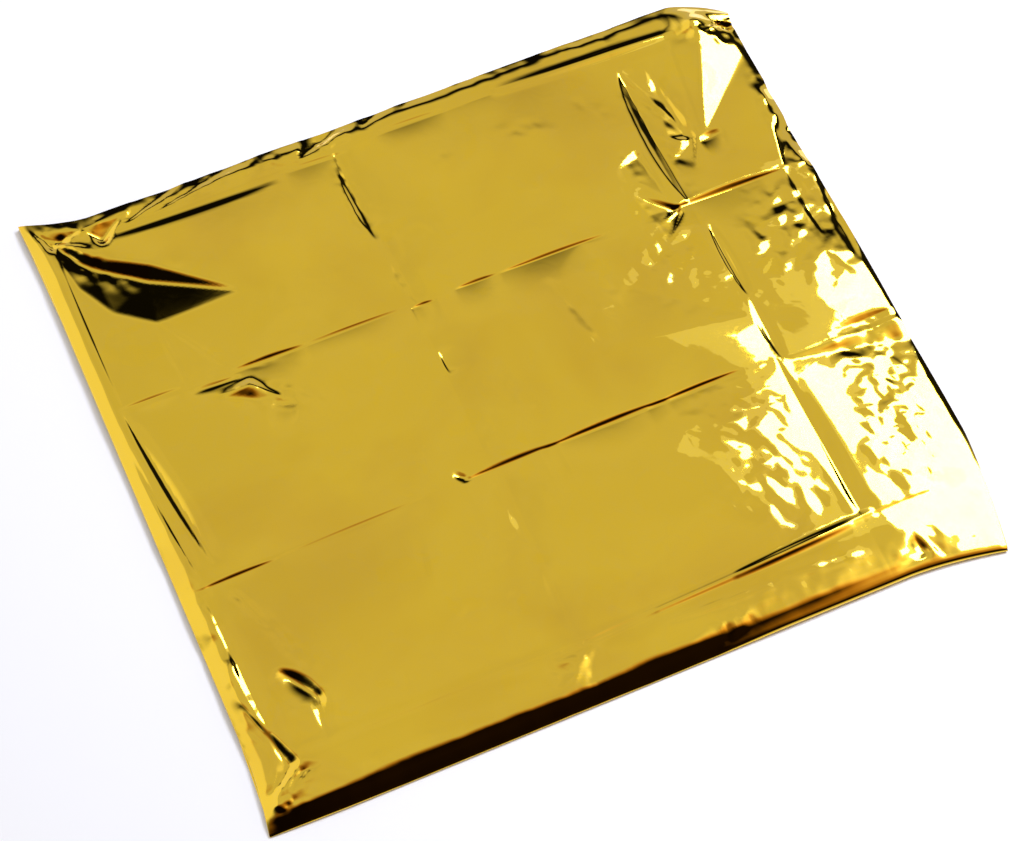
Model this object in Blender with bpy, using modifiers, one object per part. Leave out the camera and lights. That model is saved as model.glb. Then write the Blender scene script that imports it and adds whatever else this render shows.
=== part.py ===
"""Emergency foil blanket: one sheet of metallised film, folded to a loose, slightly puffed pad.

Metres, +Z up, long side of the pad along X. The pad lies on its flat underside at Z = 0.
The sheet is folded twice. It is first zigzagged along its length into a strip of three plies,
and the strip is then turned over on itself like a book. So the front edge is one round roll, the
left edge has the zigzag's turn, and the sheet's cut edges lie at the right and at the back.
The creases of the tight packet that the blanket came in cross its top ply.
"""

from math import cos, hypot, pi, radians, sin

import bmesh
import bpy

SHEET_LENGTH = 2.10
SHEET_WIDTH = 1.30
TAKE_UP = 0.974  # share of the sheet's width left by its long creases and crinkles
FILM = 0.001  # thickness given to the film
PLIES = 3
PLY_PITCH = 0.0020  # from ply to ply in the strip
BOOK_GAP = 0.0008  # between the strip's two halves

STRIP = (PLIES - 1) * PLY_PITCH + FILM  # thickness of the strip
BOTTOM_MID = STRIP / 2
TOP_MID = BOTTOM_MID + STRIP + BOOK_GAP
PLY_TURN = PLY_PITCH / 2  # radius of the zigzag's turns
FRONT_TURN = (TOP_MID - BOTTOM_MID) / 2  # radius of the strip's turn, at its middle ply

SIDE = (SHEET_LENGTH - (PLIES - 1) * pi * PLY_TURN) / PLIES / 2  # where the plies turn
PAD_LENGTH = 2 * SIDE + PLY_PITCH + FILM
PAD_WIDTH = (SHEET_WIDTH * TAKE_UP - pi * FRONT_TURN) / 2 + FRONT_TURN + STRIP / 2
BACK = PAD_WIDTH / 2
FRONT = FRONT_TURN + STRIP / 2 - PAD_WIDTH / 2  # where the strip turns

CREASE_X = 0.2787  # from cross crease to cross crease
CREASE_Y = 0.1840  # from long crease to long crease
FIRST_X = -0.331  # the leftmost cross crease
FIRST_Y = -0.262  # the foremost long crease

# Cross creases of the top ply: steps of CREASE_X from the first, height and half width.
CROSS_CREASES = [
    {"step": 0.00, "height": 0.0006, "reach": 0.010},
    {"step": 1.00, "height": -0.0016, "reach": 0.012},
    {"step": 2.00, "height": -0.0022, "reach": 0.014},
    {"step": 2.35, "height": 0.0014, "reach": 0.010},
]
# Long creases: steps of CREASE_Y, height, half width, and how far they slant over the length.
LONG_CREASES = [
    {"step": 0.00, "height": 0.0008, "reach": 0.010, "slant": 0.024},
    {"step": 1.00, "height": 0.0022, "reach": 0.010, "slant": 0.012},
    {"step": 2.00, "height": 0.0020, "reach": 0.010, "slant": -0.008},
    {"step": 3.00, "height": 0.0018, "reach": 0.009, "slant": -0.024},
]
LIFT = 0.0016  # height of the air under the top ply
PUFF = 0.0034  # further height in the middle of each panel between creases

# Folds and dents of the top ply beside the creases: middle, length, width, turn and height.
FOLDS = [
    {"x": -0.265, "y": 0.236, "length": 0.190, "width": 0.075, "turn": -37, "height": -0.0034},
    {"x": -0.318, "y": 0.010, "length": 0.170, "width": 0.040, "turn": 86, "height": -0.0020},
    {"x": -0.288, "y": -0.215, "length": 0.120, "width": 0.040, "turn": 70, "height": -0.0022},
    {"x": -0.055, "y": 0.236, "length": 0.120, "width": 0.034, "turn": 84, "height": -0.0018},
    {"x": 0.080, "y": 0.040, "length": 0.090, "width": 0.060, "turn": 20, "height": 0.0014},
    {"x": 0.178, "y": 0.090, "length": 0.080, "width": 0.060, "turn": 15, "height": 0.0030},
    {"x": 0.236, "y": 0.190, "length": 0.170, "width": 0.044, "turn": 88, "height": -0.0016},
    {"x": 0.290, "y": 0.225, "length": 0.110, "width": 0.050, "turn": 60, "height": 0.0022},
    {"x": 0.315, "y": -0.073, "length": 0.100, "width": 0.050, "turn": 5, "height": 0.0024},
    {"x": 0.160, "y": -0.150, "length": 0.130, "width": 0.060, "turn": 70, "height": -0.0018},
    {"x": 0.120, "y": -0.275, "length": 0.220, "width": 0.030, "turn": 4, "height": 0.0016},
]

# Corners of the pad: how far the film is drawn along X and Y, how far that reaches, and the
# share of the height lost there.
CORNERS = [
    {"x": -1, "y": 1, "draw_x": -0.003, "draw_y": 0.018, "reach": 0.070, "flat": 0.10},
    {"x": 1, "y": 1, "draw_x": 0.004, "draw_y": -0.028, "reach": 0.052, "flat": 0.04},
    {"x": -1, "y": -1, "draw_x": -0.007, "draw_y": 0.002, "reach": 0.080, "flat": 0.12},
    {"x": 1, "y": -1, "draw_x": -0.018, "draw_y": -0.011, "reach": 0.120, "flat": 0.12},
]
# The pad thins towards its edges, over these widths, to this share of its height.
LEFT_SLOPE = 0.028
RIGHT_SLOPE = 0.034
FRONT_SLOPE = 0.036
BACK_SLOPE = 0.030
EDGE_HEIGHT = 0.74

TURN_STEPS = 5
FRONT_STEPS = 8
X_PARTS = 8  # grid parts of a panel between cross creases
Y_PARTS = 4  # and between long creases


def smooth(share):
    """0 to 1 with level ends."""
    share = min(max(share, 0.0), 1.0)
    return share * share * (3 - 2 * share)


def spread(start, end, count):
    """count + 1 even steps from start to end."""
    return [start + (end - start) * i / count for i in range(count + 1)]


def crease_stops(creases, first, pitch, parts, low, high):
    """Grid lines over the top ply: the two ends, each crease and its sides, and the panels."""
    middles = [first + pitch * crease["step"] for crease in creases]
    lines = [low, high]
    for middle, crease in zip(middles, creases):
        lines += [middle - crease["reach"], middle, middle + crease["reach"]]
    for left, right in zip(middles, middles[1:]):
        count = parts if right - left > 0.6 * pitch else 3
        lines += spread(left, right, count)[1:-1]
    return sorted(lines)


def zigzag_section():
    """The strip's plies, from the top one's cut edge on: (x, height in the strip, top ply)."""
    top_stops = crease_stops(CROSS_CREASES, FIRST_X, CREASE_X, X_PARTS, -SIDE, SIDE)
    under_stops = [-SIDE, LEFT_SLOPE / 2 - SIDE, LEFT_SLOPE - SIDE, -0.12]
    under_stops += [0.12, SIDE - RIGHT_SLOPE, SIDE - RIGHT_SLOPE / 2, SIDE]
    section = []
    for ply in range(PLIES):
        height = ((PLIES - 1) / 2 - ply) * PLY_PITCH
        side = -1 if ply % 2 == 0 else 1  # the end where this ply turns to the next
        stops = top_stops if ply == 0 else under_stops
        section += [(x, height, ply == 0) for x in sorted(stops, reverse=side < 0)]
        if ply < PLIES - 1:
            for angle in spread(0, pi, TURN_STEPS)[1:-1]:
                x = side * (SIDE + PLY_TURN * sin(angle))
                section.append((x, height - PLY_TURN * (1 - cos(angle)), False))
    return section


def book_section():
    """The strip's path from the top back edge round the front: (y, z, outward y and z)."""
    stops = crease_stops(LONG_CREASES, FIRST_Y, CREASE_Y, Y_PARTS, FRONT, BACK)
    section = [(y, TOP_MID, 0.0, 1.0) for y in reversed(stops)]
    for angle in spread(pi / 2, 3 * pi / 2, FRONT_STEPS)[1:-1]:
        out_y, out_z = cos(angle), sin(angle)
        middle = (TOP_MID + BOTTOM_MID) / 2
        section.append((FRONT + FRONT_TURN * out_y, middle + FRONT_TURN * out_z, out_y, out_z))
    stops = [FRONT, FRONT + FRONT_SLOPE / 2, FRONT + FRONT_SLOPE, -0.1, 0.1]
    stops += [BACK - BACK_SLOPE, BACK - BACK_SLOPE / 2, BACK]
    section += [(y, BOTTOM_MID, 0.0, -1.0) for y in stops]
    return section


def corner_weight(corner, x, y):
    """1 at the corner and 0 past its reach."""
    away = hypot(x - corner["x"] * PAD_LENGTH / 2, y - corner["y"] * PAD_WIDTH / 2)
    return max(0.0, 1 - away / corner["reach"]) ** 1.5


def edge_share(x, y):
    """Share of the full height at a place: less towards the edges and at the corners."""
    left = smooth((PAD_LENGTH / 2 + x) / LEFT_SLOPE)
    right = smooth((PAD_LENGTH / 2 - x) / RIGHT_SLOPE)
    front = smooth((PAD_WIDTH / 2 + y) / FRONT_SLOPE)
    back = smooth((PAD_WIDTH / 2 - y) / BACK_SLOPE)
    share = EDGE_HEIGHT + (1 - EDGE_HEIGHT) * left * right * front * back
    for corner in CORNERS:
        share *= 1 - corner["flat"] * corner_weight(corner, x, y)
    return share


def fold_height(fold, x, y):
    """Height of one fold or dent: a tent over an ellipse."""
    turn = radians(fold["turn"])
    away_x, away_y = x - fold["x"], y - fold["y"]
    along = (away_x * cos(turn) + away_y * sin(turn)) / (fold["length"] / 2)
    across = (away_y * cos(turn) - away_x * sin(turn)) / (fold["width"] / 2)
    return fold["height"] * max(0.0, 1 - hypot(along, across))


def top_height(x, y):
    """Height of the top ply above where it would lie flat: air, creases, folds and dents."""
    across = sin(pi * (x - FIRST_X) / CREASE_X) ** 2
    along = sin(pi * (y - FIRST_Y) / CREASE_Y) ** 2
    height = LIFT + PUFF * across * along
    for crease in CROSS_CREASES:
        away = abs(x - FIRST_X - CREASE_X * crease["step"])
        height += crease["height"] * max(0.0, 1 - away / crease["reach"])
    for crease in LONG_CREASES:
        away = abs(y - FIRST_Y - CREASE_Y * crease["step"])
        height += crease["height"] * max(0.0, 1 - away / crease["reach"])
    height += sum(fold_height(fold, x, y) for fold in FOLDS)
    left = smooth((SIDE + x) / LEFT_SLOPE)
    right = smooth((SIDE - x) / RIGHT_SLOPE)
    front = smooth((y - FRONT) / FRONT_SLOPE)
    back = smooth((BACK - y) / BACK_SLOPE)
    return max(height, 0.0) * left * (0.4 + 0.6 * right) * front * (0.4 + 0.6 * back)


def crease_slant(x, y):
    """How far the long creases have moved along Y at this X, shared out between them."""
    moved = 0.0
    for crease in LONG_CREASES:
        away = abs(y - FIRST_Y - CREASE_Y * crease["step"])
        moved += crease["slant"] * max(0.0, 1 - away / CREASE_Y) * x / PAD_LENGTH
    return moved * smooth((y - FRONT) / FRONT_SLOPE) * smooth((BACK - y) / BACK_SLOPE)


def folded_point(across, along):
    """The place in the pad of a point of the sheet, from its stations in the two sections."""
    x, height, top_ply = across
    y, z, out_y, out_z = along
    y += out_y * height
    z += out_z * height
    if top_ply and out_z == 1.0:
        z += top_height(x, y)
        y += crease_slant(x, y)
    z = FILM / 2 + (z - FILM / 2) * edge_share(x, y)
    draws = [(corner, corner_weight(corner, x, y)) for corner in CORNERS]
    x += sum(corner["draw_x"] * weight for corner, weight in draws)
    y += sum(corner["draw_y"] * weight for corner, weight in draws)
    return x, y, z


def foil_material():
    material = bpy.data.materials.new("gold_foil")
    material.use_nodes = True
    shader = material.node_tree.nodes["Principled BSDF"]
    shader.inputs["Base Color"].default_value = (0.80, 0.58, 0.09, 1.0)
    shader.inputs["Metallic"].default_value = 1.0
    shader.inputs["Roughness"].default_value = 0.12
    return material


def folded_sheet(collection):
    """A flat grid laid along both sections, and given the film's thickness."""
    across = zigzag_section()
    along = book_section()
    columns, rows = len(across) - 1, len(along) - 1
    grid = bmesh.new()
    bmesh.ops.create_grid(grid, x_segments=columns, y_segments=rows, size=0.5)
    for vertex in grid.verts:
        column = round((vertex.co.x + 0.5) * columns)
        row = round((vertex.co.y + 0.5) * rows)
        vertex.co = folded_point(across[column], along[row])
    bmesh.ops.recalc_face_normals(grid, faces=grid.faces)
    for axis in (0, 1):  # the origin goes under the middle of the pad and its drawn corners
        ends = [vertex.co[axis] for vertex in grid.verts]
        middle = (min(ends) + max(ends)) / 2
        for vertex in grid.verts:
            vertex.co[axis] -= middle
    mesh = bpy.data.meshes.new("foil_blanket")
    grid.to_mesh(mesh)
    grid.free()
    mesh.shade_smooth()
    mesh.materials.append(foil_material())
    sheet = bpy.data.objects.new("foil_blanket", mesh)
    collection.objects.link(sheet)
    thickness = sheet.modifiers.new("film", "SOLIDIFY")
    thickness.thickness = FILM
    thickness.offset = 0.0


def main():
    for old in list(bpy.data.objects):
        bpy.data.objects.remove(old, do_unlink=True)
    collection = bpy.data.collections.new("foil_blanket")
    bpy.context.scene.collection.children.link(collection)
    folded_sheet(collection)


main()
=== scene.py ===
import bpy
import numpy as np
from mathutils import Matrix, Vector


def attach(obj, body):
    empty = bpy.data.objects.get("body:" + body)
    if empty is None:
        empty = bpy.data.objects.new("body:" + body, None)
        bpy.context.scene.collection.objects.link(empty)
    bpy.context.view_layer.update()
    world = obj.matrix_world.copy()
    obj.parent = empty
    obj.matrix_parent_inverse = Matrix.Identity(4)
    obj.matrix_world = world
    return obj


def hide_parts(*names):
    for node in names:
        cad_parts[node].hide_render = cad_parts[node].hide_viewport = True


# An emergency foil blanket, folded to a loose pad: one gold metallised film, its folds, its packet creases
# and its crumples. The film lies on the folds of the CAD sheet, which it stands for.

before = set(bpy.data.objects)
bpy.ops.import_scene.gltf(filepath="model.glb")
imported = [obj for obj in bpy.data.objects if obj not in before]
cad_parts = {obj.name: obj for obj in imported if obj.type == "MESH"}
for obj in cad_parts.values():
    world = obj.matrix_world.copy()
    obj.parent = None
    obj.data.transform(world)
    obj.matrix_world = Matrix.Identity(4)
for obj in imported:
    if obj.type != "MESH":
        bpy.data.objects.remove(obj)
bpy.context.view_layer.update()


def smoothStep(share):
    # 0 to 1 with level ends: s * s * (3 - 2 s)
    share = np.clip(share, 0.0, 1.0)
    return share * share * (3 - 2 * share)


def gatheredStops(low, high, count, creases, reach, crowd):
    # stops from low to high that lie closer near each crease: the running total of
    # 1 + crowd * exp(-(distance / reach)^2) is cut into even shares, and a stop is moved onto each crease
    fine = np.linspace(low, high, 4000)
    density = np.ones_like(fine)
    for crease in creases:
        density += crowd * np.exp(-(((fine - crease) / reach) ** 2))
    total = np.concatenate([[0], np.cumsum((density[1:] + density[:-1]) / 2)])
    stops = np.interp(np.linspace(0, total[-1], count), total, fine)
    for crease in creases:
        stops[np.argmin(np.abs(stops - crease))] = crease
    return stops


def evenWaves(x, y, waves, longest, shortest, seed):
    # a sum of sine waves in seeded directions, each with a length between shortest and longest
    draw = np.random.default_rng(seed)
    found = np.zeros_like(x)
    for length in np.geomspace(longest, shortest, waves):
        turn, phase = draw.uniform(0, 2 * np.pi, 2)
        found += np.sin(2 * np.pi * (x * np.cos(turn) + y * np.sin(turn)) / length + phase) * length / longest
    return found / waves


film = {
    "cut": (1.30, 2.10),
    "plies": 3,
    "plyPitch": 0.0020,  # from ply to ply in the strip, as in the CAD sheet
    "bookGap": 0.0008,
    "filmGap": 0.001,  # the CAD sheet's thickness, which the plies keep as room
    "halfLength": 0.3500,  # from the middle to where the plies turn
    "frontY": -0.3115,  # where the strip turns at the front, and its back edge
    "backY": 0.3155,
    "middle": (0.0014, -0.0038),  # of the plies: the drawn corners put the box's middle at the origin
    "topColumns": 312,
    "topRows": 250,
    "underColumns": 13,
    "bottomRows": 9,
    # how near a crease or an edge the columns and rows gather, and how closely
    "topColumnCrowd": (0.008, 1.2),
    "topRowCrowd": (0.006, 1.8),
    "underColumnCrowd": (0.02, 6),
    "bottomRowCrowd": (0.03, 5),
    "lift": 0.0020,  # air under the top ply
    "puff": 0.0026,  # more air under the middle of each panel
    "waves": 0.0010,  # slow unevenness, and its longest and shortest wave
    "waveLengths": (0.22, 0.06),
    "sunk": 0.5,  # share of their height that the plies under the top one lose inside the edges
    "sunkBack": 0.5,  # part of that loss at the cut back and right edges
    "sunkRun": (0.040, 0.030),  # how far in from the folds and from the cut edges it is full
    "fadeLeft": 0.012,  # how far in from each edge the top ply's height is full
    "fadeFront": 0.010,
    "fadeBack": 0.012,
    "keptBack": 0.35,  # share of it that the back edge keeps
    "deepest": 0.8,  # the deepest pit, as a share of the pad's height
}

pressRoom = 0.0004  # between a pit of the top ply and the plies that it presses
frontFold = 0.0045  # how far the front fold stands out from where the strip turns

# The packet's creases, in the plies' own middle: places along X and Y, and how far each slants.
crossCreases = {"a": -0.331, "b": -0.052, "c": 0.2264, "d": 0.325}
longCreases = {"D": -0.262, "C": -0.078, "B": 0.106, "A": 0.290}
longSlant = {"D": 0.024, "C": 0.012, "B": -0.008, "A": -0.024}
pitchX, pitchY = 0.2787, 0.184
slantRun = 0.704  # the length that the slants are measured over
slantFade = (0.036, 0.030)  # how far in from the front and the back edge the slant is full

# The pad's edges: the slope's width in millimetres at the edge's two ends, the share of the height left
# there, how full the slope's curve is, how uneven it is, and where along the edge one end gives way to the
# other: the middle and the length of the change, in millimetres.
edgeSlopes = {
    "left": {"width": (20, 9), "left": (0.50, 0.72), "power": 1.6, "uneven": 0.5, "change": (0, 700)},
    "right": {"width": (8, 10), "left": (0.84, 0.86), "power": 1.6, "uneven": 0.4, "change": (0, 700)},
    "front": {"width": (17, 26), "left": (0.42, 0.88), "power": 1.10, "uneven": 0.20, "change": (85, 90)},
    "back": {"width": (12, 9), "left": (0.87, 0.89), "power": 1.5, "uneven": 1.4, "change": (0, 700)},
}
edgeFacets = (0.045, 0.014)  # the sizes of the edges' unevenness
# Over the last stretch to the front the whole pad loses a share of its height.
frontRoll = {"depth": 0.052, "share": 0.24, "power": 1.3}

# Corners: how far the film is drawn along X and Y, and how far that reaches.
corners = [
    {"x": -1, "y": 1, "drawX": -0.003, "drawY": 0.019, "reach": 0.060, "flat": 0.15},
    {"x": 1, "y": 1, "drawX": 0.004, "drawY": -0.029, "reach": 0.052, "flat": 0.05},
    {"x": -1, "y": -1, "drawX": -0.008, "drawY": 0.002, "reach": 0.070, "flat": 0.2},
    {"x": 1, "y": -1, "drawX": -0.019, "drawY": -0.012, "reach": 0.110, "flat": 0.3},
]

# Behind a fold the film comes back up over its lap: the slope that it comes back at, and the least lap.
lapSlope = 0.032
leastLap = 4.0

# Where the packet's creases stay sharp, in millimetres: from and to are places along the crease, aside is how
# far the fold lies to the crease's far or left side, width is its steep face's and slope that face's slope.
creaseFolds = [
    {"on": "B", "from": -335, "to": -275, "aside": 2, "width": 1.6, "slope": 0.5},
    {"on": "B", "from": -226, "to": -156, "aside": 0, "width": 3.0, "slope": 0.5},
    {"on": "B", "from": -160, "to": -50, "aside": 0, "width": 2.0, "slope": 0.5},
    {"on": "B", "from": -54, "to": -30, "aside": -3, "width": 2.6, "slope": 0.5},
    {"on": "B", "from": -10, "to": 34, "aside": 0, "width": 3.0, "slope": 0.45},
    {"on": "B", "from": 30, "to": 150, "aside": 0, "width": 3.2, "slope": 0.45},
    {"on": "B", "from": 205, "to": 325, "aside": 1, "width": 5.0, "slope": 0.56},
    {"on": "C", "from": -335, "to": -258, "aside": 0, "width": 3.0, "slope": 0.5},
    {"on": "C", "from": -262, "to": -112, "aside": 1, "width": 1.8, "slope": 0.45},
    {"on": "C", "from": -78, "to": 12, "aside": 2, "width": 4.0, "slope": 0.5},
    {"on": "C", "from": -4, "to": 120, "aside": 1, "width": 4.0, "slope": 0.5},
    {"on": "C", "from": 100, "to": 195, "aside": 0, "width": 3.4, "slope": 0.5},
    {"on": "C", "from": 285, "to": 348, "aside": 0, "width": 6.0, "slope": 0.30},
    {"on": "D", "from": -48, "to": 24, "aside": 2, "width": 2.0, "slope": 0.45},
    {"on": "D", "from": 215, "to": 314, "aside": 2, "width": 1.8, "slope": 0.40},
    {"on": "A", "from": -112, "to": -298, "aside": -13, "width": 6.0, "slope": 0.24},
    {"on": "A", "from": -104, "to": -40, "aside": -6, "width": 3.0, "slope": 0.35},
    {"on": "A", "from": -10, "to": 60, "aside": 4, "width": 2.4, "slope": 0.35},
    {"on": "a", "from": 110, "to": 288, "aside": 0, "width": 2.4, "slope": 0.40},
    {"on": "b", "from": 181, "to": 287, "aside": 4, "width": 7.0, "slope": 0.26},
    {"on": "b", "from": 196, "to": 268, "aside": 8, "width": 2.2, "slope": 0.50},
    {"on": "b", "from": 102, "to": 178, "aside": -4, "width": 8.0, "slope": 0.08},
    {"on": "b", "from": 22, "to": 50, "aside": -3, "width": 1.8, "slope": 0.60},
    {"on": "b", "from": -262, "to": -184, "aside": -2, "width": 10.0, "slope": 0.045},
    {"on": "b", "from": -186, "to": -84, "aside": -5, "width": 12.0, "slope": 0.055},
    {"on": "c", "from": 101, "to": 262, "aside": 0, "width": 11.0, "slope": 0.34},
    {"on": "c", "from": 116, "to": 236, "aside": 6, "width": 3.0, "slope": 0.16},
    {"on": "c", "from": -12, "to": 74, "aside": -6, "width": 4.6, "slope": 0.50, "lap": 10},
    {"on": "c", "from": -84, "to": -16, "aside": -6, "width": 7.0, "slope": 0.24, "lap": 8},
    {"on": "c", "from": -252, "to": -82, "aside": 0, "width": 10.0, "slope": 0.18, "lap": 18},
    {"on": "d", "from": 20, "to": 102, "aside": 0, "width": 6.0, "slope": 0.24},
]

# Other sharp folds, from start to end, in millimetres, made as the crease folds are. Peak is where along the
# fold its face is widest, 0.5 if not given, and lap is how soon the film is back up behind it.
folds = [
    # the two branches of cross crease a
    {"start": (-310, -70), "end": (-332, 105), "width": 6.0, "slope": 0.44, "lap": 16, "peak": 0.45},
    {"start": (-326, -84), "end": (-342, 80), "width": 4.0, "slope": 0.40, "lap": 12, "peak": 0.6},
    {"start": (-322, -262), "end": (-330, -92), "width": 5.0, "slope": 0.30, "lap": 20, "peak": 0.3},
    # the kink where crease C is doubled
    {"start": (-84, -70), "end": (-74, -82), "width": 2.6, "slope": 0.8, "lap": 8},
    # the outlined leaf beside the dark one
    {"start": (-270, 180), "end": (-224, 104), "width": 2.0, "slope": 0.30, "lap": 4},
    {"start": (-268, 102), "end": (-274, 178), "width": 2.0, "slope": 0.30, "lap": 4},
    {"start": (-268, 99), "end": (-222, 97), "width": 3.0, "slope": 0.5, "lap": 8},
    # the tail of the copper leaf on crease B
    {"start": (-208, 60), "end": (-184, 50), "width": 5.0, "slope": 0.34, "lap": 40},
    # the dark leaf in the left front panel, and its tail
    {"start": (-296, -184), "end": (-270, -226), "width": 9.0, "slope": 0.50, "lap": 24},
    {"start": (-284, -264), "end": (-272, -214), "width": 8.0, "slope": 0.27, "lap": 14, "peak": 0.7},
    {"start": (-305, -96), "end": (-287, -146), "width": 5.0, "slope": 0.24, "lap": 10},
    # the dark tick at the bright wedge's tip
    {"start": (266, 160), "end": (290, 162), "width": 5.0, "slope": 0.5, "lap": 30},
    # the right edge
    {"start": (352, 92), "end": (362, 236), "width": 12.0, "slope": 0.34, "lap": 4, "peak": 0.35},
    {"start": (344, -20), "end": (352, 84), "width": 8.0, "slope": 0.30, "lap": 5},
    # the broad leaf in the middle
    {"start": (72, 78), "end": (96, -12), "width": 16.0, "slope": 0.05, "lap": 14},
    # the knot in the front edge
    {"start": (60, -330), "end": (76, -296), "width": 6.0, "slope": 0.40, "lap": 8},
]

# Flat three-cornered facets: each corner's place and height, in millimetres. The film is flat between them,
# and outside it comes back at the slope given as back.
facets = [
    # the dark leaf folded in at the left back corner
    {"corners": ((-188, 179, 0), (-270, 177, 0), (-262, 227, -8)), "back": 0.6},
    {"corners": ((-270, 177, 0), (-304, 204, 0), (-262, 227, -8)), "back": 0.6},
    {"corners": ((-304, 204, 0), (-306, 260, -6), (-262, 227, -8)), "back": 0.6},
    {"corners": ((-304, 204, 0), (-324, 242, 0), (-306, 260, -6)), "back": 0.6},
    {"corners": ((-324, 242, 0), (-334, 298, 0), (-306, 260, -6)), "back": 0.6},
    # the copper leaf on crease B
    {"corners": ((-252, 86, 0), (-190, 56, 0), (-218, 83, 4.6)), "back": 0.5},
    # the ear behind the dark leaf
    {"corners": ((-350, 318, 0), (-330, 290, -5), (-300, 300, 0)), "back": 0.6},
    {"corners": ((-300, 300, 0), (-286, 284, -5), (-262, 300, 0)), "back": 0.6},
    # the bright wedge in the right back corner, and the panel beside it
    {"corners": ((273, 164, 0), (319, 279, 8), (360, 241, -2.8)), "back": 0.24},
    {"corners": ((273, 164, 0), (326, 101, 0), (360, 241, -2.8)), "back": 0.33},
    {"corners": ((319, 279, 6), (345, 268, -5), (330, 292, -2)), "back": 0.6},
    # the diamond and star between crease c and the wedge
    {"corners": ((254, 262, 0), (240, 176, 0), (258, 170, -4)), "back": 0.6},
    {"corners": ((254, 262, 0), (268, 164, 0), (258, 170, -4)), "back": 0.6},
    {"corners": ((232, 148, 0), (262, 168, -3), (250, 134, 0)), "back": 0.6},
    {"corners": ((181, 131, 0), (212, 100, -3), (190, 88, 0)), "back": 0.6},
    {"corners": ((214, 96, -3), (190, 88, 0), (186, 62, 0)), "back": 0.6},
    {"corners": ((181, 160, 0), (206, 168, -2), (214, 106, 0)), "back": 0.6},
    # the right edge, beside and in front of the corner
    {"corners": ((326, 102, 0), (356, 98, 0), (348, 140, -8)), "back": 0.5},
    {"corners": ((336, 152, 0), (358, 148, 0), (354, 186, -7)), "back": 0.5},
    # the panel left of crease c leans to the left
    {"corners": ((226, -30, 0), (226, 74, 0), (140, 40, -2.6)), "back": 0.04},
    # the panel beside crease c leans to the right
    {"corners": ((254, -330, 0), (232, -84, 0), (366, -110, -6)), "back": 0.30},
    {"corners": ((254, -330, 0), (350, -340, -6), (366, -110, -6)), "back": 0.30},
    # dark facets along the back edge
    {"corners": ((-262, 290, 0), (-200, 316, -6), (-240, 318, -3)), "back": 0.6},
    {"corners": ((-226, 292, 0), (-130, 318, -7), (-190, 320, -3)), "back": 0.6},
    {"corners": ((-88, 290, 0), (-30, 318, -8), (-70, 320, -4)), "back": 0.6},
    {"corners": ((-20, 300, 0), (6, 318, -8), (-18, 320, -4)), "back": 0.6},
    {"corners": ((20, 304, 0), (90, 318, -3), (40, 320, -3)), "back": 0.6},
    # the left front corner's fan
    {"corners": ((-356, -198, 0), (-318, -268, -5), (-340, -194, 0)), "back": 0.6},
    {"corners": ((-356, -206, 0), (-356, -304, 0), (-318, -268, -5)), "back": 0.6},
    {"corners": ((-316, -266, 0), (-350, -308, 0), (-330, -272, -4)), "back": 0.6},
    # the right front corner's facets
    {"corners": ((226, -316, 0), (262, -282, 0), (266, -304, -5)), "back": 0.6},
    {"corners": ((266, -284, 0), (312, -300, 0), (286, -316, -5)), "back": 0.6},
    {"corners": ((330, -296, 0), (340, -330, 0), (314, -320, -4)), "back": 0.6},
]

# Rounded ridges from start to end: width and height in millimetres.
ridges = [
    {"start": (108, 288), "end": (318, 281), "width": 9.0, "height": 1.6},
    {"start": (-330, -258), "end": (20, -266), "width": 9.0, "height": 0.5},
    {"start": (-44, -266), "end": (216, -257), "width": 6.0, "height": 0.9},
    {"start": (100, -262), "end": (240, -254), "width": 8.0, "height": 1.4},
    {"start": (24, -276), "end": (130, -284), "width": 5.0, "height": 0.9},
    {"start": (140, -280), "end": (220, -290), "width": 5.0, "height": 0.8},
    {"start": (232, -84), "end": (222, -250), "width": 10.0, "height": 0.7},
    {"start": (-338, 296), "end": (-298, 276), "width": 5.0, "height": 1.6},
    {"start": (228, 262), "end": (262, 170), "width": 5.0, "height": 1.0},
    {"start": (-330, -160), "end": (-352, -196), "width": 10.0, "height": 1.5},
]

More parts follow.
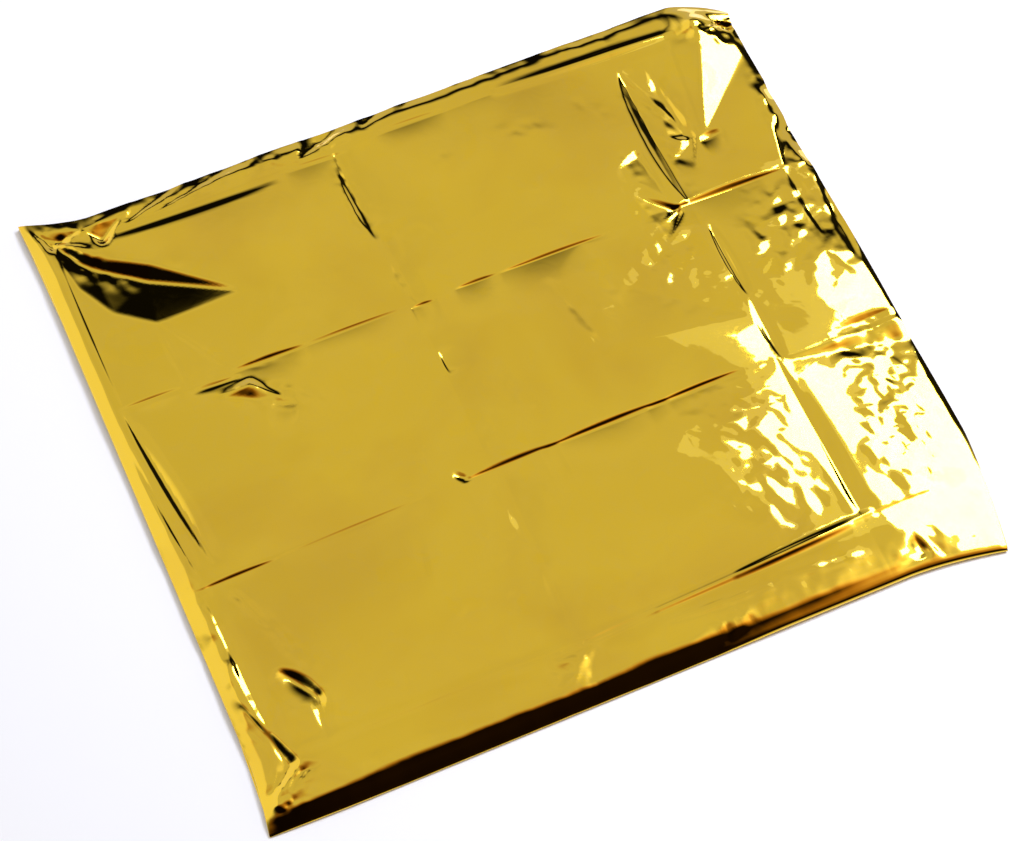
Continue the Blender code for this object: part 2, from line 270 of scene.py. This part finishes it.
# Crumples: patches of flat facets. Middle, length, width and turn of the patch, size of a facet, height.
crumples = [
    {"middle": (176, 60), "length": 80, "width": 44, "turn": 70, "facet": 10, "height": 0.8},
    {"middle": (246, 200), "length": 120, "width": 50, "turn": 95, "facet": 22, "height": 2.4},
    {"middle": (190, 140), "length": 70, "width": 26, "turn": 80, "facet": 14, "height": 1.4},
    {"middle": (-58, 236), "length": 110, "width": 20, "turn": 84, "facet": 9, "height": 1.1},
    {"middle": (-44, 138), "length": 80, "width": 26, "turn": 88, "facet": 16, "height": 1.1},
    {"middle": (-206, 68), "length": 84, "width": 24, "turn": -28, "facet": 11, "height": 1.8},
    {"middle": (-306, 262), "length": 90, "width": 30, "turn": -50, "facet": 13, "height": 2.6},
    {"middle": (-330, 300), "length": 90, "width": 30, "turn": -5, "facet": 16, "height": 3.4},
    {"middle": (346, 140), "length": 130, "width": 26, "turn": 90, "facet": 15, "height": 3.6},
    {"middle": (322, 30), "length": 130, "width": 70, "turn": 88, "facet": 24, "height": 3.2},
    {"middle": (290, 40), "length": 100, "width": 70, "turn": 60, "facet": 11, "height": 1.5},
    {"middle": (304, -165), "length": 170, "width": 70, "turn": 72, "facet": 13, "height": 2.2},
    {"middle": (300, -100), "length": 60, "width": 50, "turn": 20, "facet": 10, "height": 1.2},
    {"middle": (170, -112), "length": 130, "width": 60, "turn": 10, "facet": 12, "height": 0.8},
    {"middle": (176, -190), "length": 130, "width": 90, "turn": 70, "facet": 13, "height": 0.9},
    {"middle": (332, 276), "length": 86, "width": 50, "turn": -30, "facet": 17, "height": 5.0},
    {"middle": (-70, 302), "length": 130, "width": 24, "turn": 4, "facet": 18, "height": 4.4},
    {"middle": (-200, 304), "length": 220, "width": 24, "turn": 0, "facet": 16, "height": 3.2},
    {"middle": (140, 308), "length": 260, "width": 14, "turn": -3, "facet": 14, "height": 1.8},
    {"middle": (-326, -290), "length": 60, "width": 36, "turn": 35, "facet": 9, "height": 3.4},
    {"middle": (-338, -150), "length": 200, "width": 26, "turn": 88, "facet": 16, "height": 2.0},
    {"middle": (-60, -286), "length": 46, "width": 40, "turn": 10, "facet": 12, "height": 2.0},
    {"middle": (80, -304), "length": 50, "width": 26, "turn": 10, "facet": 11, "height": 2.6},
    {"middle": (-200, -300), "length": 220, "width": 26, "turn": 0, "facet": 34, "height": 1.6},
    {"middle": (160, -292), "length": 160, "width": 30, "turn": -4, "facet": 16, "height": 1.2},
    {"middle": (290, -296), "length": 110, "width": 40, "turn": 0, "facet": 18, "height": 2.6},
    {"middle": (-288, -150), "length": 120, "width": 22, "turn": -70, "facet": 8, "height": 1.0},
    {"middle": (190, 40), "length": 90, "width": 60, "turn": 70, "facet": 9, "height": 0.6},
    {"middle": (-60, -140), "length": 120, "width": 90, "turn": 60, "facet": 30, "height": 0.9},
    {"middle": (-280, 150), "length": 120, "width": 60, "turn": -40, "facet": 16, "height": 0.5},
    {"middle": (-150, 140), "length": 120, "width": 70, "turn": 20, "facet": 26, "height": 0.8},
    {"middle": (100, 30), "length": 90, "width": 60, "turn": 60, "facet": 20, "height": 0.9},
]

# Small dents anywhere on the top: how many, their least and greatest width in millimetres, and the height.
dents = {"count": 44, "width": (7, 20), "height": 0.8, "seed": 12}


def alongAcross(x, y, start, end):
    # place along the line from start to end, 0 to 1, and distance to its left, both points in millimetres
    startX, startY, endX, endY = (value / 1000 for value in (*start, *end))
    length = np.hypot(endX - startX, endY - startY)
    stepX, stepY = (endX - startX) / length, (endY - startY) / length
    along = ((x - startX) * stepX + (y - startY) * stepY) / length
    across = (y - startY) * stepX - (x - startX) * stepY
    return along, across


def creasePoint(name, place, aside):
    # the point of a packet crease at a place along it, moved aside, in millimetres
    middleX, middleY = (value * 1000 for value in film["middle"])
    if name in longCreases:
        height = (longCreases[name] + longSlant[name] * place / (slantRun * 1000)) * 1000
        return place, height + middleY + aside
    return crossCreases[name] * 1000 + middleX - aside, place


def allFolds():
    # the folds' table, with the crease folds' ends worked out, and a lap, where none is given, that comes
    # back at the slope lapSlope
    found = list(folds)
    for fold in creaseFolds:
        start = creasePoint(fold["on"], fold["from"], fold["aside"])
        end = creasePoint(fold["on"], fold["to"], fold["aside"])
        lap = fold.get("lap", max(leastLap, fold["width"] * fold["slope"] / lapSlope))
        found.append({"start": start, "end": end, "width": fold["width"], "slope": fold["slope"], "lap": lap})
    return found


def foldHeight(x, y, fold):
    # a bowed outline W = width * sin(pi * along^bow)^0.7: on the left the height is -slope * (W - across),
    # and on the right it is -slope * W * (1 - distance / lap)^2
    along, across = alongAcross(x, y, fold["start"], fold["end"])
    bow = np.log(0.5) / np.log(fold.get("peak", 0.5))
    width = fold["width"] / 1000 * np.sin(np.pi * np.clip(along, 0, 1) ** bow) ** 0.7
    drop = fold["slope"] * width
    onFace = -fold["slope"] * np.clip(width - across, 0, None)
    onLap = -drop * np.clip(1 + across / (fold["lap"] / 1000), 0, None) ** 2
    return np.where(across > 0, onFace, onLap)


def facetPatch(x, y, facet):
    # inside the triangle the height is the mean of its corners', weighted by nearness; outside it is the
    # nearest edge point's height, brought back to 0 by the slope times the distance
    corners = [np.array(corner) / 1000 for corner in facet["corners"]]
    found = np.zeros_like(x)
    nearest = np.full_like(x, np.inf)
    sides = []
    for first, second in zip(corners, corners[1:] + corners[:1]):
        stepX, stepY, climb = second - first
        share = ((x - first[0]) * stepX + (y - first[1]) * stepY) / (stepX**2 + stepY**2)
        share = np.clip(share, 0, 1)
        away = np.hypot(x - first[0] - share * stepX, y - first[1] - share * stepY)
        found = np.where(away < nearest, first[2] + share * climb, found)
        nearest = np.minimum(away, nearest)
        sides.append(stepX * (y - first[1]) - stepY * (x - first[0]))
    sides = np.array(sides)
    inside = (sides >= 0).all(axis=0) | (sides <= 0).all(axis=0)
    weights = np.roll(sides, -1, axis=0) / sides.sum(axis=0)
    flat = sum(weight * corner[2] for weight, corner in zip(weights, corners))
    outside = np.sign(found) * np.clip(np.abs(found) - facet["back"] * nearest, 0, None)
    return np.where(inside, flat, outside)


def ridgeHeight(x, y, ridge):
    # height * sin(pi * along)^0.5 * exp(-(across / half width)^2)
    along, across = alongAcross(x, y, ridge["start"], ridge["end"])
    fade = np.sin(np.pi * np.clip(along, 0, 1)) ** 0.5
    return ridge["height"] / 1000 * fade * np.exp(-((across / (ridge["width"] / 2000)) ** 2))


def facetHeight(x, y, size, seed):
    # flat triangles between the points of a triangular net, each point with its own seeded height from -0.5
    # to 0.5: inside a triangle the height is the mean of its three points, weighted by nearness
    heights = np.random.default_rng(seed).uniform(-0.5, 0.5, (64, 64))
    bentX = x + 0.22 * size * np.sin(y / size * 2.3 + seed)
    bentY = y + 0.22 * size * np.sin(x / size * 1.9 + 2 * seed)
    across = bentX / size - bentY / size * 0.577
    up = bentY / size * 1.155
    column, row = np.floor(across).astype(int), np.floor(up).astype(int)
    partX, partY = across - column, up - row

    def pointHeight(stepX, stepY):
        return heights[(column + stepX) % 64, (row + stepY) % 64]

    first = pointHeight(0, 0) * (1 - partX - partY) + pointHeight(1, 0) * partX + pointHeight(0, 1) * partY
    second = (
        pointHeight(1, 1) * (partX + partY - 1)
        + pointHeight(0, 1) * (1 - partX)
        + pointHeight(1, 0) * (1 - partY)
    )
    return np.where(partX + partY < 1, first, second)


def crumpleHeight(x, y, crumple, seed):
    # facets of two sizes, turned to the patch, under a soft oval
    middleX, middleY = (value / 1000 for value in crumple["middle"])
    turn = np.radians(crumple["turn"])
    awayX, awayY = x - middleX, y - middleY
    along = awayX * np.cos(turn) + awayY * np.sin(turn)
    across = awayY * np.cos(turn) - awayX * np.sin(turn)
    patch = smoothStep(1.4 - np.hypot(along / (crumple["length"] / 2000), across / (crumple["width"] / 2000)))
    facet = crumple["facet"] / 1000
    found = facetHeight(along * 0.75, across, facet, seed)
    found += 0.35 * facetHeight(across, along, facet * 0.45, seed + 50)
    return crumple["height"] / 1000 * patch * found


def dentHeight(x, y):
    # seeded small crumples, each three times as long as it is wide at most
    draw = np.random.default_rng(dents["seed"])
    height = np.zeros_like(x)
    for number in range(dents["count"]):
        width = draw.uniform(*dents["width"])
        dent = {
            "middle": (draw.uniform(-320, 320), draw.uniform(-280, 290)),
            "length": width * draw.uniform(1, 3),
            "width": width,
            "turn": draw.uniform(0, 180),
            "facet": width * 0.6,
            "height": dents["height"] * draw.uniform(0.4, 1.0) * width / dents["width"][1],
        }
        height += crumpleHeight(x, y, dent, 120 + number)
    return height


def topHeight(x, y):
    # height of the top ply over where it would lie flat: air, panels, waves, folds, facets, ridges, crumples
    # and dents; where facets meet, the one that goes furthest counts
    middleX, middleY = film["middle"]
    across = np.abs(np.sin(np.pi * (x - middleX - crossCreases["a"]) / pitchX))
    along = np.abs(np.sin(np.pi * (y - middleY - longCreases["D"]) / pitchY))
    height = film["lift"] + film["puff"] * (across * along) ** 0.9
    height += film["waves"] * evenWaves(x, y, 6, *film["waveLengths"], 3)
    for fold in allFolds():
        height += foldHeight(x, y, fold)
    bent = np.zeros_like(x)
    for facet in facets:
        patch = facetPatch(x, y, facet)
        bent = np.where(np.abs(patch) > np.abs(bent), patch, bent)
    height += bent
    for ridge in ridges:
        height += ridgeHeight(x, y, ridge)
    for number, crumple in enumerate(crumples):
        height += crumpleHeight(x, y, crumple, 20 + number)
    return height + dentHeight(x, y)


def edgeShare(x, y):
    # share of the height at a place: the product of the four edges' 1 - (1 - left) * (1 - away)^power, less
    # at the corners and towards the front; each edge's width and share change evenly from its first end to
    # its second, and unevenly with seeded facets
    halfX = film["halfLength"] + film["plyPitch"] / 2
    frontY = film["frontY"] - frontFold
    inward = {"left": x + halfX, "right": halfX - x, "front": y - frontY, "back": film["backY"] - y}
    toFront = np.clip(1 - inward["front"] / frontRoll["depth"], 0, 1)
    share = 1 - frontRoll["share"] * toFront ** frontRoll["power"]
    for number, (name, slope) in enumerate(edgeSlopes.items()):
        run = y if name in ("left", "right") else x
        middle, length = slope["change"]
        end = smoothStep((run * 1000 - middle) / length + 0.5)
        uneven = slope["uneven"] * facetHeight(run, np.zeros_like(run), edgeFacets[0], 70 + number)
        uneven += 0.5 * slope["uneven"] * facetHeight(run, np.zeros_like(run), edgeFacets[1], 80 + number)
        width = (slope["width"][0] * (1 - end) + slope["width"][1] * end) / 1000 * (1 + 0.8 * uneven)
        left = slope["left"][0] * (1 - end) + slope["left"][1] * end
        away = np.clip(inward[name] / width, 0, 1)
        share = share * (1 - np.clip((1 - left) * (1 + uneven), 0.02, 0.9) * (1 - away) ** slope["power"])
    for corner in corners:
        share = share * (1 - corner["flat"] * cornerWeight(corner, x, y))
    return share


def underShare(x, y):
    # share of the height that the plies under the top one keep: all of it at the left and front folds, less
    # at the cut back and right edges, and least in the middle, where the top ply's pits go down to them
    foldRun, cutRun = film["sunkRun"]
    folded = smoothStep((x + film["halfLength"]) / foldRun) * smoothStep((y - film["frontY"]) / foldRun)
    cut = smoothStep((film["halfLength"] - x) / cutRun) * smoothStep((film["backY"] - y) / cutRun)
    return 1 - film["sunk"] * folded * (film["sunkBack"] + (1 - film["sunkBack"]) * cut)


def cornerWeight(corner, x, y):
    # (1 - distance / reach)^1.5, and 0 past the reach
    cornerX = corner["x"] * (film["halfLength"] + film["plyPitch"] / 2)
    away = np.hypot(x - cornerX, y - corner["y"] * film["backY"])
    return np.clip(1 - away / corner["reach"], 0, None) ** 1.5


def creaseShift(x, y):
    # how far the long creases have moved along Y, shared out between neighbours by distance
    moved = np.zeros_like(x)
    for name, place in longCreases.items():
        moved += longSlant[name] * np.clip(1 - np.abs(y - place) / pitchY, 0, None) * x / slantRun
    frontRun, backRun = slantFade
    fade = smoothStep((y - film["frontY"]) / frontRun) * smoothStep((film["backY"] - y) / backRun)
    return moved * fade


def zigzagSection():
    # columns of the sheet, from the top ply's cut edge on: x, height in the strip, whether on the top ply
    radius = film["plyPitch"] / 2
    side = film["halfLength"]
    creases = list(crossCreases.values())
    top = gatheredStops(-side, side, film["topColumns"], creases, *film["topColumnCrowd"])[::-1]
    under = gatheredStops(-side, side, film["underColumns"], [-side, side], *film["underColumnCrowd"])
    turn = np.linspace(0, np.pi, 7)[1:-1]
    xs, heights, isTop = [top], [np.full(top.size, film["plyPitch"])], [np.ones(top.size, bool)]
    for ply in range(1, film["plies"]):
        end = -1 if ply % 2 else 1  # the side where the last ply turned
        start = film["plyPitch"] * (1 - ply)
        xs += [end * (side + radius * np.sin(turn)), under[:: -end]]
        heights += [start + radius * (1 + np.cos(turn)), np.full(under.size, start)]
        isTop += [np.zeros(turn.size + under.size, bool)]
    return np.concatenate(xs), np.concatenate(heights), np.concatenate(isTop)


def bookSection():
    # rows of the sheet, from the top back edge round the front: y, z, the outward way, whether on top
    strip = (film["plies"] - 1) * film["plyPitch"] + film["filmGap"]
    bottomMid = strip / 2
    topMid = bottomMid + strip + film["bookGap"]
    radius = (topMid - bottomMid) / 2
    creases = list(longCreases.values())
    ends = [film["frontY"], film["backY"]]
    top = gatheredStops(*ends, film["topRows"], creases, *film["topRowCrowd"])[::-1]
    turn = np.linspace(np.pi / 2, 3 * np.pi / 2, 15)[1:-1]
    bottom = gatheredStops(*ends, film["bottomRows"], ends, *film["bottomRowCrowd"])
    y = np.concatenate([top, film["frontY"] + radius * np.cos(turn), bottom])
    z = np.concatenate([
        np.full(top.size, topMid),
        (topMid + bottomMid) / 2 + radius * np.sin(turn),
        np.full(bottom.size, bottomMid),
    ])
    outY = np.concatenate([np.zeros(top.size), np.cos(turn), np.zeros(bottom.size)])
    outZ = np.concatenate([np.ones(top.size), np.sin(turn), -np.ones(bottom.size)])
    onTop = np.arange(y.size) < top.size
    return y, z, outY, outZ, onTop


def foldedFilm():
    # every column of the zigzag crossed with every row of the book, then the top ply's height, which presses
    # the plies under it where it dips, the edges' slopes and the drawn corners
    columnX, columnHeight, topColumn = zigzagSection()
    rowY, rowZ, outY, outZ, topRow = bookSection()
    x = np.broadcast_to(columnX[None, :], (rowY.size, columnX.size)).copy()
    y = rowY[:, None] + outY[:, None] * columnHeight[None, :]
    z = rowZ[:, None] + outZ[:, None] * columnHeight[None, :]
    upper = topRow[:, None] & topColumn[None, :]
    flatTop = z[0, 0]
    y += np.where(upper, creaseShift(x, y), 0)
    inFromLeft = smoothStep((x + film["halfLength"]) / film["fadeLeft"])
    inFromFront = smoothStep((y - film["frontY"]) / film["fadeFront"])
    backShare = smoothStep((film["backY"] - y) / film["fadeBack"])
    inFromBack = film["keptBack"] + (1 - film["keptBack"]) * backShare
    middleX, middleY = film["middle"]
    raised = topHeight(x + middleX, y + middleY) * inFromLeft * inFromFront * inFromBack
    raised = np.clip(raised, -film["deepest"] * flatTop, None)
    pressed = np.clip(1 + (raised - pressRoom) / flatTop, None, 1)
    low = film["filmGap"] / 2
    z = np.where(upper, z + raised, low + (z - low) * pressed * underShare(x, y))
    z = low + (z - low) * edgeShare(x, y)
    weights = [(corner, cornerWeight(corner, x, y)) for corner in corners]
    x += sum(corner["drawX"] * weight for corner, weight in weights) + middleX
    y += sum(corner["drawY"] * weight for corner, weight in weights) + middleY
    return np.stack([x, y, z], axis=-1)


def gridMesh(name, places, material):
    # one face per grid cell, wound so that the first rows and columns face up
    rows, columns, _ = places.shape
    index = np.arange(rows * columns).reshape(rows, columns)
    faces = np.stack([index[:-1, :-1], index[:-1, 1:], index[1:, 1:], index[1:, :-1]], axis=-1).reshape(-1, 4)
    mesh = bpy.data.meshes.new(name)
    mesh.from_pydata(places.reshape(-1, 3), [], faces[:, ::-1])
    mesh.shade_smooth()
    mesh.materials.append(material)
    piece = bpy.data.objects.new(name, mesh)
    bpy.context.scene.collection.objects.link(piece)
    return piece


goldLook = {
    "colour": (0.93, 0.60, 0.009, 1.0),
    "deepColour": (0.86, 0.53, 0.007, 1.0),  # where the coating lies thicker
    "colourScale": 6.0,
    "colourChange": (0.30, 0.52),  # the noise where the deep colour ends and where the plain one is full
    "roughness": (0.015, 0.045),  # where the film is smooth and where it is handled
    "roughnessScale": 24.0,
    "roughnessChange": (0.35, 0.75),
    "distortion": 0.6,
    "coatRoughness": 0.02,
    "coatIor": 1.45,
    # each crinkle's scale, strength and depth
    "broadCrinkle": (11.0, 0.05, 0.004),
    "fineCrinkle": (46.0, 0.06, 0.001),
}


def goldFoil():
    # metal under a clear film: its colour and roughness vary softly, and two sizes of crinkle bend the
    # surface
    material = bpy.data.materials.new("goldFoil")
    material.use_nodes = True
    nodes, links = material.node_tree.nodes, material.node_tree.links
    shader = nodes["Principled BSDF"]
    shader.inputs["Metallic"].default_value = 1.0
    shader.inputs["Coat Weight"].default_value = 1.0
    shader.inputs["Coat Roughness"].default_value = goldLook["coatRoughness"]
    shader.inputs["Coat IOR"].default_value = goldLook["coatIor"]
    place = nodes.new("ShaderNodeTexCoord")

    def noiseAt(scale, detail):
        # bent noise over the piece's own places
        noise = nodes.new("ShaderNodeTexNoise")
        noise.inputs["Scale"].default_value = scale
        noise.inputs["Detail"].default_value = detail
        noise.inputs["Distortion"].default_value = goldLook["distortion"]
        links.new(place.outputs["Object"], noise.inputs["Vector"])
        return noise.outputs["Fac"]

    tone = nodes.new("ShaderNodeMix")
    tone.data_type = "RGBA"
    tone.inputs["A"].default_value = goldLook["deepColour"]
    tone.inputs["B"].default_value = goldLook["colour"]
    share = nodes.new("ShaderNodeMapRange")
    share.inputs["From Min"].default_value = goldLook["colourChange"][0]
    share.inputs["From Max"].default_value = goldLook["colourChange"][1]
    links.new(noiseAt(goldLook["colourScale"], 3.0), share.inputs["Value"])
    links.new(share.outputs["Result"], tone.inputs["Factor"])
    links.new(tone.outputs["Result"], shader.inputs["Base Color"])
    handled = nodes.new("ShaderNodeMapRange")
    handled.inputs["From Min"].default_value = goldLook["roughnessChange"][0]
    handled.inputs["From Max"].default_value = goldLook["roughnessChange"][1]
    handled.inputs["To Min"].default_value = goldLook["roughness"][0]
    handled.inputs["To Max"].default_value = goldLook["roughness"][1]
    links.new(noiseAt(goldLook["roughnessScale"], 4.0), handled.inputs["Value"])
    links.new(handled.outputs["Result"], shader.inputs["Roughness"])
    last = None
    for scale, strength, distance in (goldLook["broadCrinkle"], goldLook["fineCrinkle"]):
        bump = nodes.new("ShaderNodeBump")
        bump.inputs["Strength"].default_value = strength
        bump.inputs["Distance"].default_value = distance
        links.new(noiseAt(scale, 2.0), bump.inputs["Height"])
        if last is not None:
            links.new(last.outputs["Normal"], bump.inputs["Normal"])
        last = bump
    links.new(last.outputs["Normal"], shader.inputs["Normal"])
    links.new(last.outputs["Normal"], shader.inputs["Coat Normal"])
    return material


studio = {
    "turn": 23.7,  # degrees from the pad's long side to the camera's right
    "elevation": 62.0,
    "distance": 2.684,
    "lens": 105.0,
    "aim": (-0.0131, -0.0372, 0.0),
    "overhead": 0.66,  # brightness that the flat panels mirror
    "low": 0.004,
    "rightGlow": 1.6,  # how much brighter the room gets towards the right window
    "unevenness": 0.12,
    "warmLight": (1.0, 0.50, 0.16, 1.0),  # on the camera's side
    "cameraSide": (-0.34, 0.20),  # how far over to the camera the ceiling light fades out and is full
    "backWall": (0.64, 0.82),  # how low down at the far side it fades out and is full
    "horizonBand": (0.52, 0.36),  # how high up the pale walls all round fade out and are full
    "horizon": 0.62,  # their brightness
    "leftGlow": 0.98,  # the pale wall on the left
    "leftWall": (0.24, 0.55),  # how far left it starts and is full
    "leftWallFar": (-0.25, 0.05),  # and how far over to the far side
    "glowSide": (0.10, 0.50),  # how far right the glow starts and is full
    "warmSide": (-0.20, 0.24),  # how far over to the far side the warm light fades out
    "plainWall": (0.30, 0.55),  # how far left the wall stays free of it
    "cloudScale": 5.0,
}


def aimedAt(lamp, target):
    # turns a light or camera to face the target
    way = Vector(target) - lamp.location
    lamp.rotation_euler = way.to_track_quat("-Z", "Y").to_euler()


def studioWays():
    # unit vectors of the camera's right and of the far side, along the floor
    turn = np.radians(studio["turn"])
    return np.array([np.cos(turn), -np.sin(turn), 0]), np.array([np.sin(turn), np.cos(turn), 0])


def makeCamera():
    # on the near side, at the elevation and distance given, facing the aim
    _, far = studioWays()
    rise = np.radians(studio["elevation"])
    camera = bpy.data.objects.new("camera", bpy.data.cameras.new("camera"))
    bpy.context.scene.collection.objects.link(camera)
    camera.data.lens = studio["lens"]
    camera.data.sensor_width = 36.0
    camera.data.clip_end = 50.0
    way = -far * np.cos(rise) + np.array([0, 0, np.sin(rise)])
    camera.location = Vector(np.array(studio["aim"]) + way * studio["distance"])
    aimedAt(camera, studio["aim"])
    bpy.context.scene.camera = camera


floorLook = {
    "half": 6.0,
    "colour": (0.94, 0.94, 0.94, 1.0),
    "roughness": 0.9,
}


def makeFloor():
    # a pale square floor, far larger than the pad
    half = floorLook["half"]
    mesh = bpy.data.meshes.new("floor")
    places = [(-half, -half, 0), (half, -half, 0), (half, half, 0), (-half, half, 0)]
    mesh.from_pydata(places, [], [(0, 1, 2, 3)])
    material = bpy.data.materials.new("paleFloor")
    material.use_nodes = True
    shader = material.node_tree.nodes["Principled BSDF"]
    shader.inputs["Base Color"].default_value = floorLook["colour"]
    shader.inputs["Roughness"].default_value = floorLook["roughness"]
    shader.inputs["Specular IOR Level"].default_value = 0.0
    mesh.materials.append(material)
    floor = bpy.data.objects.new("floor", mesh)
    bpy.context.scene.collection.objects.link(floor)


def makeSky():
    # the room as the film mirrors it: an even ceiling light over the far side, pale walls along the horizon
    # and on the left, and dark between them and behind the camera
    world = bpy.data.worlds.new("studioRoom")
    bpy.context.scene.world = world
    world.use_nodes = True
    nodes, links = world.node_tree.nodes, world.node_tree.links
    background = nodes["Background"]
    place = nodes.new("ShaderNodeTexCoord")
    right, far = studioWays()

    def reading(way, ends):
        # 0 to 1 as the direction's part along the way goes from the first end to the second
        product = nodes.new("ShaderNodeVectorMath")
        product.operation = "DOT_PRODUCT"
        product.inputs[1].default_value = way
        links.new(place.outputs["Generated"], product.inputs[0])
        ramp = nodes.new("ShaderNodeMapRange")
        ramp.interpolation_type = "SMOOTHSTEP"
        ramp.inputs["From Min"].default_value = ends[0]
        ramp.inputs["From Max"].default_value = ends[1]
        links.new(product.outputs["Value"], ramp.inputs["Value"])
        return ramp.outputs["Result"]

    def paired(operation, first, second):
        # the operation's result for two values
        result = nodes.new("ShaderNodeMath")
        result.operation = operation
        links.new(first, result.inputs[0])
        links.new(second, result.inputs[1])
        return result.outputs["Value"]

    def times(first, second):
        return paired("MULTIPLY", first, second)

    def greater(first, second):
        return paired("MAXIMUM", first, second)

    def between(share, low, high):
        # low to high as the share goes from 0 to 1
        level = nodes.new("ShaderNodeMapRange")
        level.inputs["To Min"].default_value = low
        level.inputs["To Max"].default_value = high
        links.new(share, level.inputs["Value"])
        return level.outputs["Result"]

    lit = times(reading(far, studio["cameraSide"]), reading((0, 0, 1), studio["backWall"]))
    lit = between(lit, studio["low"], studio["overhead"])
    glow = between(reading(right, studio["glowSide"]), 1.0, 1.0 + studio["rightGlow"])
    cloud = nodes.new("ShaderNodeTexNoise")
    cloud.inputs["Scale"].default_value = studio["cloudScale"]
    links.new(place.outputs["Generated"], cloud.inputs["Vector"])
    uneven = between(cloud.outputs["Fac"], 1.0 - studio["unevenness"], 1.0 + studio["unevenness"])
    leftWall = times(reading(-right, studio["leftWall"]), reading(far, studio["leftWallFar"]))
    horizon = reading((0, 0, 1), studio["horizonBand"])
    walls = greater(between(leftWall, 0.0, studio["leftGlow"]), between(horizon, 0.0, studio["horizon"]))
    links.new(greater(times(times(lit, glow), uneven), walls), background.inputs["Strength"])
    warm = nodes.new("ShaderNodeMix")
    warm.data_type = "RGBA"
    warm.inputs["A"].default_value = studio["warmLight"]
    warm.inputs["B"].default_value = (1.0, 1.0, 1.0, 1.0)
    plain = greater(reading(-right, studio["plainWall"]), horizon)
    links.new(greater(reading(far, studio["warmSide"]), plain), warm.inputs["Factor"])
    links.new(warm.outputs["Result"], background.inputs["Color"])


def areaLight(name, side, depth, height, size, brightness, turn=None, seen=True, colour=(1, 1, 1)):
    # a square light at a place given along the camera's right and far sides, with its surface brightness: it
    # faces the pad, or straight down with its long side turned by turn from the camera's right
    right, far = studioWays()
    light = bpy.data.lights.new(name, "AREA")
    light.shape = "RECTANGLE"
    light.size, light.size_y = size
    light.energy = brightness * np.pi * size[0] * size[1]
    light.color = colour
    lamp = bpy.data.objects.new(name, light)
    bpy.context.scene.collection.objects.link(lamp)
    lamp.location = Vector(right * side + far * depth + np.array([0, 0, height]))
    if turn is None:
        aimedAt(lamp, (0, 0, 0))
    else:
        lamp.rotation_euler = (0, 0, np.radians(turn - studio["turn"]))
    lamp.visible_camera = False
    lamp.visible_glossy = seen
    return lamp


def makeLights():
    # the window at the right with its pale surround, and a light that only evens out the floor
    areaLight("rightWindow", 1.54, 1.22, 2.4, (1.6, 1.4), 12.0, turn=-50, colour=(0.95, 1.0, 1.2))
    areaLight("windowHalo", 1.55, 1.22, 2.41, (1.9, 1.64), 0.22, turn=-50, colour=(0.8, 1.0, 2.2))
    areaLight("floorFill", 0.0, 0.0, 3.0, (2.5, 2.5), 1.3, seen=False)


bpy.context.scene.view_settings.view_transform = "Standard"
makeCamera()
makeFloor()
makeSky()
makeLights()
print("studio ready")

gold = goldFoil()
blanket = gridMesh("foilBlanket", foldedFilm(), gold)
print("film folded:", len(blanket.data.polygons), "faces")
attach(blanket, "root")
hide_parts("foil_blanket")
